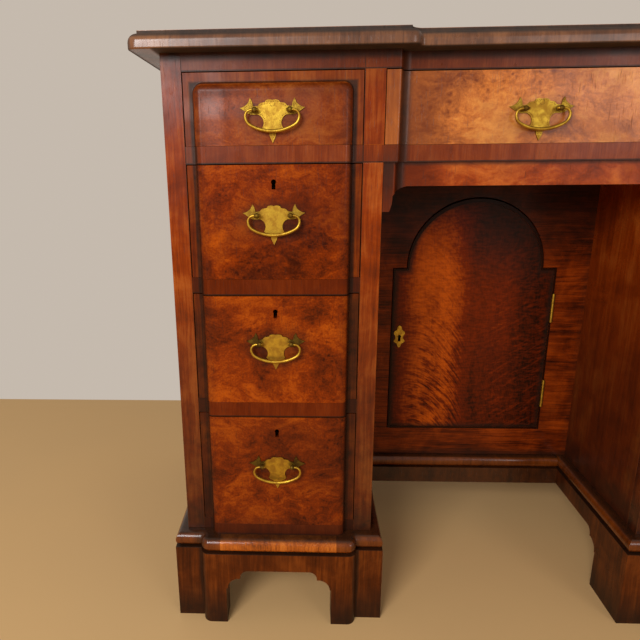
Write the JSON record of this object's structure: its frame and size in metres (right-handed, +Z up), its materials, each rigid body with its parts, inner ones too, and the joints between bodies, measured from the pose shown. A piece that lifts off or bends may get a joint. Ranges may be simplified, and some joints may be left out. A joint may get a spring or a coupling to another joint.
{
  "type": "kneehole desk",
  "caption": "Kneehole desk with blocked drawer fronts, bat-wing brass pulls, a recessed cupboard with an arched door, a moulded base and bracket feet.",
  "frame": {"origin": "middle of the desk's footprint on the floor", "axes": "+X to the right along the desk's length, +Z up, front facing -Y"},
  "size_m": [0.942, 0.518, 0.7755],
  "materials": {
    "walnut": "straight-grained walnut, waxed",
    "crossbanded_walnut": "crossbanded walnut veneer, waxed",
    "burr_walnut": "burr walnut veneer, polished",
    "figured_walnut": "flame-figured walnut veneer, polished",
    "oak": "raw oak lining, aged",
    "brass": "aged brass"
  },
  "bodies": {
    "case": {"top_board": "walnut", "left_outer_side": "walnut", "left_inner_side": "walnut", "right_inner_side": "walnut", "right_outer_side": "walnut", "outer_stiles": "walnut", "inner_stiles": "walnut", "top_rail": "crossbanded_walnut", "frieze_rail": "crossbanded_walnut", "left_drawer_rails": "crossbanded_walnut", "right_drawer_rails": "crossbanded_walnut", "kneehole_apron": "crossbanded_walnut", "back_boards": "oak", "case_boards": "oak", "cupboard_shelf": "oak", "drawer_runners": "oak", "base_mouldings": "walnut", "left_bracket_base": "walnut", "right_bracket_base": "walnut", "cupboard_front": "crossbanded_walnut", "hinge_jamb_leaves": "brass"},
    "door": {"cupboard_door": "figured_walnut", "door_brasses": "brass", "hinge_door_leaves": "brass"},
    "left_frieze_drawer": {"left_frieze_drawer_front": "burr_walnut", "left_frieze_drawer_box": "oak", "left_frieze_drawer_brasses": "brass"},
    "left_frieze_drawer_bail": {"left_frieze_drawer_bail": "brass"},
    "left_second_drawer": {"left_second_drawer_front": "burr_walnut", "left_second_drawer_box": "oak", "left_second_drawer_brasses": "brass"},
    "left_second_drawer_bail": {"left_second_drawer_bail": "brass"},
    "left_third_drawer": {"left_third_drawer_front": "burr_walnut", "left_third_drawer_box": "oak", "left_third_drawer_brasses": "brass"},
    "left_third_drawer_bail": {"left_third_drawer_bail": "brass"},
    "left_fourth_drawer": {"left_fourth_drawer_front": "burr_walnut", "left_fourth_drawer_box": "oak", "left_fourth_drawer_brasses": "brass"},
    "left_fourth_drawer_bail": {"left_fourth_drawer_bail": "brass"},
    "right_frieze_drawer": {"right_frieze_drawer_front": "burr_walnut", "right_frieze_drawer_box": "oak", "right_frieze_drawer_brasses": "brass"},
    "right_frieze_drawer_bail": {"right_frieze_drawer_bail": "brass"},
    "right_second_drawer": {"right_second_drawer_front": "burr_walnut", "right_second_drawer_box": "oak", "right_second_drawer_brasses": "brass"},
    "right_second_drawer_bail": {"right_second_drawer_bail": "brass"},
    "right_third_drawer": {"right_third_drawer_front": "burr_walnut", "right_third_drawer_box": "oak", "right_third_drawer_brasses": "brass"},
    "right_third_drawer_bail": {"right_third_drawer_bail": "brass"},
    "right_fourth_drawer": {"right_fourth_drawer_front": "burr_walnut", "right_fourth_drawer_box": "oak", "right_fourth_drawer_brasses": "brass"},
    "right_fourth_drawer_bail": {"right_fourth_drawer_bail": "brass"},
    "centre_drawer": {"centre_drawer_front": "burr_walnut", "centre_drawer_box": "oak", "centre_drawer_brasses": "brass"},
    "centre_drawer_bail": {"centre_drawer_bail": "brass"}
  },
  "joints": [
    {"name": "door_hinge", "type": "hinge", "parent": "case", "child": "door", "pos_m": [0.1306, -0.005, 0.325], "axis": [0, 0, 1], "range_deg": [0, 97]},
    {"name": "left_frieze_drawer_slide", "type": "slide", "parent": "case", "child": "left_frieze_drawer", "axis": [0, -1, 0], "range_m": [0, 0.3]},
    {"name": "left_frieze_drawer_bail_swing", "type": "hinge", "parent": "left_frieze_drawer", "child": "left_frieze_drawer_bail", "pos_m": [-0.311, -0.251, 0.691], "axis": [-1, 0, 0], "range_deg": [-10, 100]},
    {"name": "left_second_drawer_slide", "type": "slide", "parent": "case", "child": "left_second_drawer", "axis": [0, -1, 0], "range_m": [0, 0.3]},
    {"name": "left_second_drawer_bail_swing", "type": "hinge", "parent": "left_second_drawer", "child": "left_second_drawer_bail", "pos_m": [-0.311, -0.251, 0.5735], "axis": [-1, 0, 0], "range_deg": [-10, 100]},
    {"name": "left_third_drawer_slide", "type": "slide", "parent": "case", "child": "left_third_drawer", "axis": [0, -1, 0], "range_m": [0, 0.3]},
    {"name": "left_third_drawer_bail_swing", "type": "hinge", "parent": "left_third_drawer", "child": "left_third_drawer_bail", "pos_m": [-0.311, -0.251, 0.4145], "axis": [-1, 0, 0], "range_deg": [-10, 100]},
    {"name": "left_fourth_drawer_slide", "type": "slide", "parent": "case", "child": "left_fourth_drawer", "axis": [0, -1, 0], "range_m": [0, 0.3]},
    {"name": "left_fourth_drawer_bail_swing", "type": "hinge", "parent": "left_fourth_drawer", "child": "left_fourth_drawer_bail", "pos_m": [-0.311, -0.251, 0.2435], "axis": [-1, 0, 0], "range_deg": [-10, 100]},
    {"name": "right_frieze_drawer_slide", "type": "slide", "parent": "case", "child": "right_frieze_drawer", "axis": [0, -1, 0], "range_m": [0, 0.3]},
    {"name": "right_frieze_drawer_bail_swing", "type": "hinge", "parent": "right_frieze_drawer", "child": "right_frieze_drawer_bail", "pos_m": [0.311, -0.251, 0.691], "axis": [-1, 0, 0], "range_deg": [-10, 100]},
    {"name": "right_second_drawer_slide", "type": "slide", "parent": "case", "child": "right_second_drawer", "axis": [0, -1, 0], "range_m": [0, 0.3]},
    {"name": "right_second_drawer_bail_swing", "type": "hinge", "parent": "right_second_drawer", "child": "right_second_drawer_bail", "pos_m": [0.311, -0.251, 0.5735], "axis": [-1, 0, 0], "range_deg": [-10, 100]},
    {"name": "right_third_drawer_slide", "type": "slide", "parent": "case", "child": "right_third_drawer", "axis": [0, -1, 0], "range_m": [0, 0.3]},
    {"name": "right_third_drawer_bail_swing", "type": "hinge", "parent": "right_third_drawer", "child": "right_third_drawer_bail", "pos_m": [0.311, -0.251, 0.4145], "axis": [-1, 0, 0], "range_deg": [-10, 100]},
    {"name": "right_fourth_drawer_slide", "type": "slide", "parent": "case", "child": "right_fourth_drawer", "axis": [0, -1, 0], "range_m": [0, 0.3]},
    {"name": "right_fourth_drawer_bail_swing", "type": "hinge", "parent": "right_fourth_drawer", "child": "right_fourth_drawer_bail", "pos_m": [0.311, -0.251, 0.2435], "axis": [-1, 0, 0], "range_deg": [-10, 100]},
    {"name": "centre_drawer_slide", "type": "slide", "parent": "case", "child": "centre_drawer", "axis": [0, -1, 0], "range_m": [0, 0.3]},
    {"name": "centre_drawer_bail_swing", "type": "hinge", "parent": "centre_drawer", "child": "centre_drawer_bail", "pos_m": [0, -0.221, 0.691], "axis": [-1, 0, 0], "range_deg": [-10, 100]}
  ]
}
